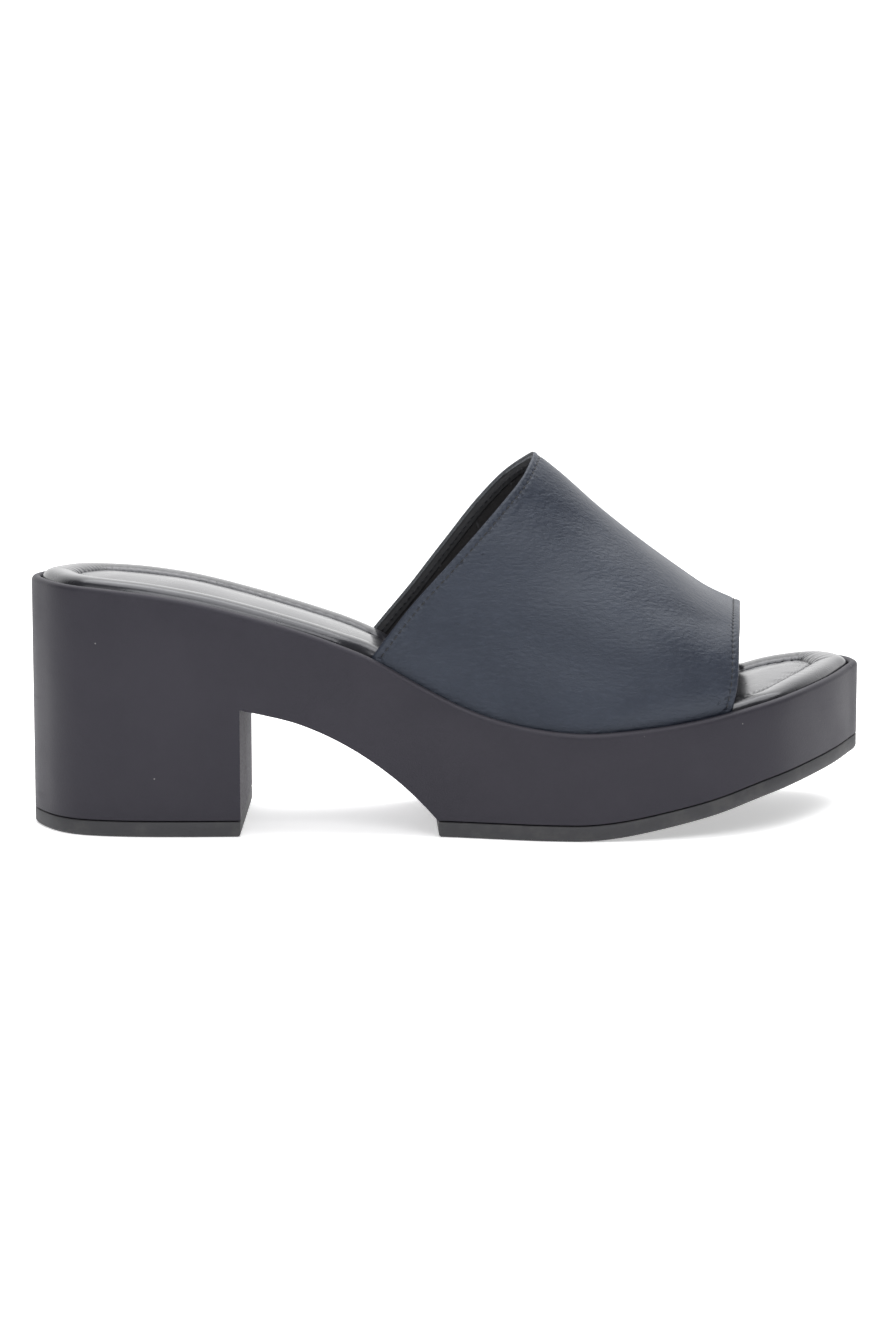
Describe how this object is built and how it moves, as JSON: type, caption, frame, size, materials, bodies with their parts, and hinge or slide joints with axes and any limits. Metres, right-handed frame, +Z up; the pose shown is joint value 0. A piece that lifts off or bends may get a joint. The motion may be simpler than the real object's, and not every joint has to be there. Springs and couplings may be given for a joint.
{
  "type": "heeled slide",
  "caption": "Open-toe, open-back slide with a platform sole, block heel, padded footbed and one broad leather strap, for the right foot.",
  "frame": {"origin": "on the floor, under the middle of the shoe's bounding box", "axes": "+X towards the toe, +Y towards the inner (medial) side of the foot, +Z up"},
  "size_m": [0.247, 0.0884, 0.109],
  "materials": {
    "sole": "charcoal black moulded foam with a soft sheen",
    "rubber": "matte dark rubber",
    "insole": "glossy black padded leather",
    "upper": "smooth black leather with a fine grain"
  },
  "bodies": {
    "root": {"sole_unit": "sole", "heel_top_piece": "rubber", "forefoot_outsole": "rubber", "insole_roll": "insole", "insole_panel": "insole", "upper": "upper"}
  },
  "joints": []
}
